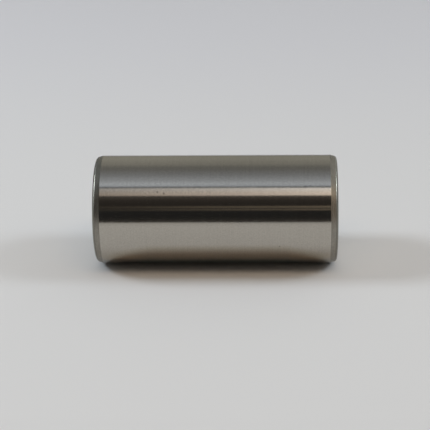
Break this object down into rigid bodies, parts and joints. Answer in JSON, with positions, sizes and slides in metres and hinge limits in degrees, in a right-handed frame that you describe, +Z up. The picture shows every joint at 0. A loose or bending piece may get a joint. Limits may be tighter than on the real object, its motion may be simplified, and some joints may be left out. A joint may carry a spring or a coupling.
{
  "type": "crank pin",
  "caption": "Round hardened and ground steel crank pin with a tapered lead-in and a rounded edge at both flat ends.",
  "frame": {"origin": "centre of the lower end face, on the surface that the pin stands on", "axes": "+Z up along the pin's axis, from the lower end face to the upper; the pin is round, so X and Y are any two directions across it"},
  "size_m": [0.022, 0.022, 0.0487],
  "materials": {
    "ground_steel": "finely ground and polished barrel, duller turned lead-ins and end faces"
  },
  "bodies": {
    "root": {"crank_pin": "ground_steel"}
  },
  "joints": []
}
